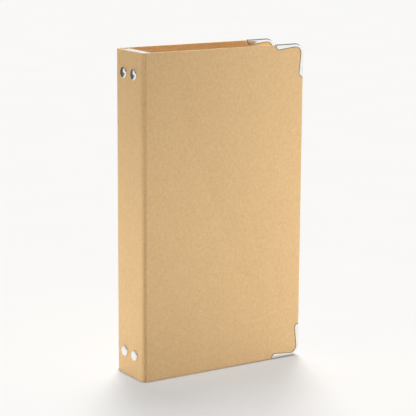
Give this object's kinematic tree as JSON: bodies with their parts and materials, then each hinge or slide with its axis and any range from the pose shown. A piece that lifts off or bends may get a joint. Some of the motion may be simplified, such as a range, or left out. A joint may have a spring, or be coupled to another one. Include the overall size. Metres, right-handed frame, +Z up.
{
  "type": "scrapbook album",
  "caption": "Slim upright kraft-board scrapbook album with metal corners, a riveted spine, and card pages held on steel rods between two end brackets.",
  "frame": {"origin": "middle of the footprint, rivet heads included, on the surface that the closed album stands on", "axes": "+X from the spine to the fore-edge, +Y from the front cover to the back cover, +Z up along the spine"},
  "size_m": [0.1274, 0.0368, 0.22],
  "materials": {
    "kraft_board": "matte uncoated kraft board with fine fibres",
    "corner_metal": "polished nickel plate",
    "rivet_metal": "polished nickel plate",
    "bracket_metal": "bright plated steel",
    "rod_steel": "drawn steel wire",
    "page_card": "matte kraft card",
    "insert_card": "matte cream card"
  },
  "bodies": {
    "spine": {"spine_board": "kraft_board", "front_fold": "kraft_board", "back_fold": "kraft_board", "bracket_top": "bracket_metal", "bracket_bottom": "bracket_metal", "rivet_top_front": "rivet_metal", "rivet_top_back": "rivet_metal", "rivet_bottom_front": "rivet_metal", "rivet_bottom_back": "rivet_metal", "rod_1": "rod_steel", "rod_2": "rod_steel", "rod_3": "rod_steel", "rod_4": "rod_steel", "rod_5": "rod_steel", "rod_6": "rod_steel"},
    "front_cover": {"front_board": "kraft_board", "corner_front_top": "corner_metal", "corner_front_bottom": "corner_metal"},
    "back_cover": {"back_board": "kraft_board", "corner_back_top": "corner_metal", "corner_back_bottom": "corner_metal"},
    "page_1": {"page_1": "page_card", "insert_1": "insert_card"},
    "page_2": {"page_2": "page_card", "insert_2": "insert_card"},
    "page_3": {"page_3": "page_card", "insert_3": "insert_card"},
    "page_4": {"page_4": "page_card", "insert_4": "insert_card"},
    "page_5": {"page_5": "page_card", "insert_5": "insert_card"},
    "page_6": {"page_6": "page_card", "insert_6": "insert_card"}
  },
  "joints": [
    {"name": "front_cover_hinge", "type": "hinge", "parent": "spine", "child": "front_cover", "pos_m": [-0.06125, -0.01725, 0], "axis": [0, 0, -1], "range_deg": [0, 90], "deforming": ["front_fold"]},
    {"name": "back_cover_hinge", "type": "hinge", "parent": "spine", "child": "back_cover", "pos_m": [-0.06125, 0.01725, 0], "axis": [0, 0, 1], "range_deg": [0, 90], "deforming": ["back_fold"]},
    {"name": "page_1_turn", "type": "hinge", "parent": "spine", "child": "page_1", "pos_m": [-0.05625, -0.013, 0], "axis": [0, 0, -1], "range_deg": [0, 72.1]},
    {"name": "page_2_turn", "type": "hinge", "parent": "spine", "child": "page_2", "pos_m": [-0.05625, -0.0078, 0], "axis": [0, 0, -1], "range_deg": [0, 39.7]},
    {"name": "page_3_turn", "type": "hinge", "parent": "spine", "child": "page_3", "pos_m": [-0.05625, -0.0026, 0], "axis": [0, 0, -1], "range_deg": [0, 16.3]},
    {"name": "page_4_turn", "type": "hinge", "parent": "spine", "child": "page_4", "pos_m": [-0.05625, 0.0026, 0], "axis": [0, 0, 1], "range_deg": [0, 16.3]},
    {"name": "page_5_turn", "type": "hinge", "parent": "spine", "child": "page_5", "pos_m": [-0.05625, 0.0078, 0], "axis": [0, 0, 1], "range_deg": [0, 39.7]},
    {"name": "page_6_turn", "type": "hinge", "parent": "spine", "child": "page_6", "pos_m": [-0.05625, 0.013, 0], "axis": [0, 0, 1], "range_deg": [0, 72.1]}
  ],
  "couplings": [
    {"joint": "page_1_turn", "follows": "front_cover_hinge", "ratio": 0.8},
    {"joint": "page_2_turn", "follows": "front_cover_hinge", "ratio": 0.44},
    {"joint": "page_3_turn", "follows": "front_cover_hinge", "ratio": 0.18},
    {"joint": "page_4_turn", "follows": "back_cover_hinge", "ratio": 0.18},
    {"joint": "page_5_turn", "follows": "back_cover_hinge", "ratio": 0.44},
    {"joint": "page_6_turn", "follows": "back_cover_hinge", "ratio": 0.8}
  ]
}
